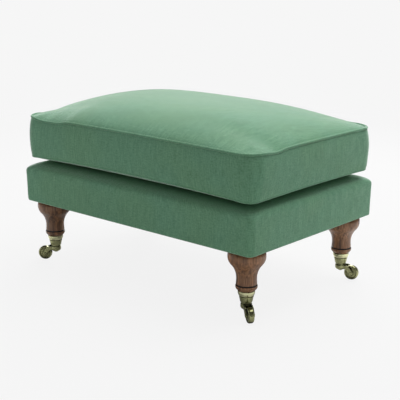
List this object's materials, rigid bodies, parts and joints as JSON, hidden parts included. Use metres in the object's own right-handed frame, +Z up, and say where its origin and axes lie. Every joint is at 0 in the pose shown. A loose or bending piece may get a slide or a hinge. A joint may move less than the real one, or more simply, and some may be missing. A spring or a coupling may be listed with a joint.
{
  "type": "upholstered footstool",
  "caption": "Upholstered footstool: a loose piped box cushion on a covered base, with turned legs on swivelling brass cup castors.",
  "frame": {"origin": "on the floor under the middle of the stool", "axes": "+X along the long side to the right, -Y to the front, +Z up"},
  "size_m": [0.804, 0.51, 0.474],
  "materials": {
    "cover_fabric": "green plain weave with a brushed face",
    "walnut": "dark stained and polished",
    "frame_timber": "sawn",
    "webbing": "woven jute",
    "hessian": "open plain weave",
    "foam": "open-cell foam",
    "fibre": "bonded polyester fibre",
    "dust_cloth": "black non-woven cloth",
    "antique_brass": "aged, satin",
    "zinc_steel": "zinc plated",
    "zip_metal": "aged"
  },
  "bodies": {
    "base": {"frame_front_rail": "frame_timber", "frame_back_rail": "frame_timber", "frame_left_rail": "frame_timber", "frame_right_rail": "frame_timber", "frame_cross_rail": "frame_timber", "webbing_lengthwise": "webbing", "webbing_crosswise": "webbing", "hessian": "hessian", "platform_foam": "foam", "wadding_front": "fibre", "wadding_back": "fibre", "wadding_left": "fibre", "wadding_right": "fibre", "base_cover": "cover_fabric", "dust_cover": "dust_cloth", "hanger_bolts": "zinc_steel", "tee_nuts": "zinc_steel", "corner_block_front_left": "frame_timber", "leg_front_left": "walnut", "castor_cup_front_left": "antique_brass", "castor_pivot_front_left": "antique_brass", "corner_block_front_right": "frame_timber", "leg_front_right": "walnut", "castor_cup_front_right": "antique_brass", "castor_pivot_front_right": "antique_brass", "corner_block_back_left": "frame_timber", "leg_back_left": "walnut", "castor_cup_back_left": "antique_brass", "castor_pivot_back_left": "antique_brass", "corner_block_back_right": "frame_timber", "leg_back_right": "walnut", "castor_cup_back_right": "antique_brass", "castor_pivot_back_right": "antique_brass"},
    "cushion": {"cushion_foam": "foam", "cushion_fibre_top": "fibre", "cushion_fibre_bottom": "fibre", "cushion_panel_top": "cover_fabric", "cushion_panel_bottom": "cover_fabric", "cushion_border": "cover_fabric", "piping_top": "cover_fabric", "piping_bottom": "cover_fabric", "zip_chain": "zip_metal"},
    "zip_slider": {"zip_slider": "zip_metal"},
    "horn_front_left": {"castor_horn_front_left": "antique_brass", "castor_axle_front_left": "antique_brass"},
    "wheel_front_left": {"castor_wheel_front_left": "antique_brass"},
    "horn_front_right": {"castor_horn_front_right": "antique_brass", "castor_axle_front_right": "antique_brass"},
    "wheel_front_right": {"castor_wheel_front_right": "antique_brass"},
    "horn_back_left": {"castor_horn_back_left": "antique_brass", "castor_axle_back_left": "antique_brass"},
    "wheel_back_left": {"castor_wheel_back_left": "antique_brass"},
    "horn_back_right": {"castor_horn_back_right": "antique_brass", "castor_axle_back_right": "antique_brass"},
    "wheel_back_right": {"castor_wheel_back_right": "antique_brass"}
  },
  "joints": [
    {"name": "swivel_front_left", "type": "hinge", "parent": "base", "child": "horn_front_left", "pos_m": [-0.344, -0.199, 0.0395], "axis": [0, 0, 1], "continuous": true},
    {"name": "roll_front_left", "type": "hinge", "parent": "horn_front_left", "child": "wheel_front_left", "pos_m": [-0.36849, -0.21718, 0.019], "axis": [0.5962, -0.8028, 0], "continuous": true},
    {"name": "swivel_front_right", "type": "hinge", "parent": "base", "child": "horn_front_right", "pos_m": [0.344, -0.199, 0.0395], "axis": [0, 0, 1], "continuous": true},
    {"name": "roll_front_right", "type": "hinge", "parent": "horn_front_right", "child": "wheel_front_right", "pos_m": [0.36914, -0.21628, 0.019], "axis": [0.5664, 0.8241, 0], "continuous": true},
    {"name": "swivel_back_left", "type": "hinge", "parent": "base", "child": "horn_back_left", "pos_m": [-0.344, 0.199, 0.0395], "axis": [0, 0, 1], "continuous": true},
    {"name": "roll_back_left", "type": "hinge", "parent": "horn_back_left", "child": "wheel_back_left", "pos_m": [-0.37286, 0.20888, 0.019], "axis": [-0.3239, -0.9461, 0], "continuous": true},
    {"name": "swivel_back_right", "type": "hinge", "parent": "base", "child": "horn_back_right", "pos_m": [0.344, 0.199, 0.0395], "axis": [0, 0, 1], "continuous": true},
    {"name": "roll_back_right", "type": "hinge", "parent": "horn_back_right", "child": "wheel_back_right", "pos_m": [0.37286, 0.20888, 0.019], "axis": [-0.3239, 0.9461, 0], "continuous": true},
    {"name": "cushion_lift", "type": "slide", "parent": "base", "child": "cushion", "axis": [0, 0, 1], "range_m": [0, 0.2]},
    {"name": "zip_pull", "type": "slide", "parent": "cushion", "child": "zip_slider", "axis": [-1, 0, 0], "range_m": [0, 0.52]}
  ]
}
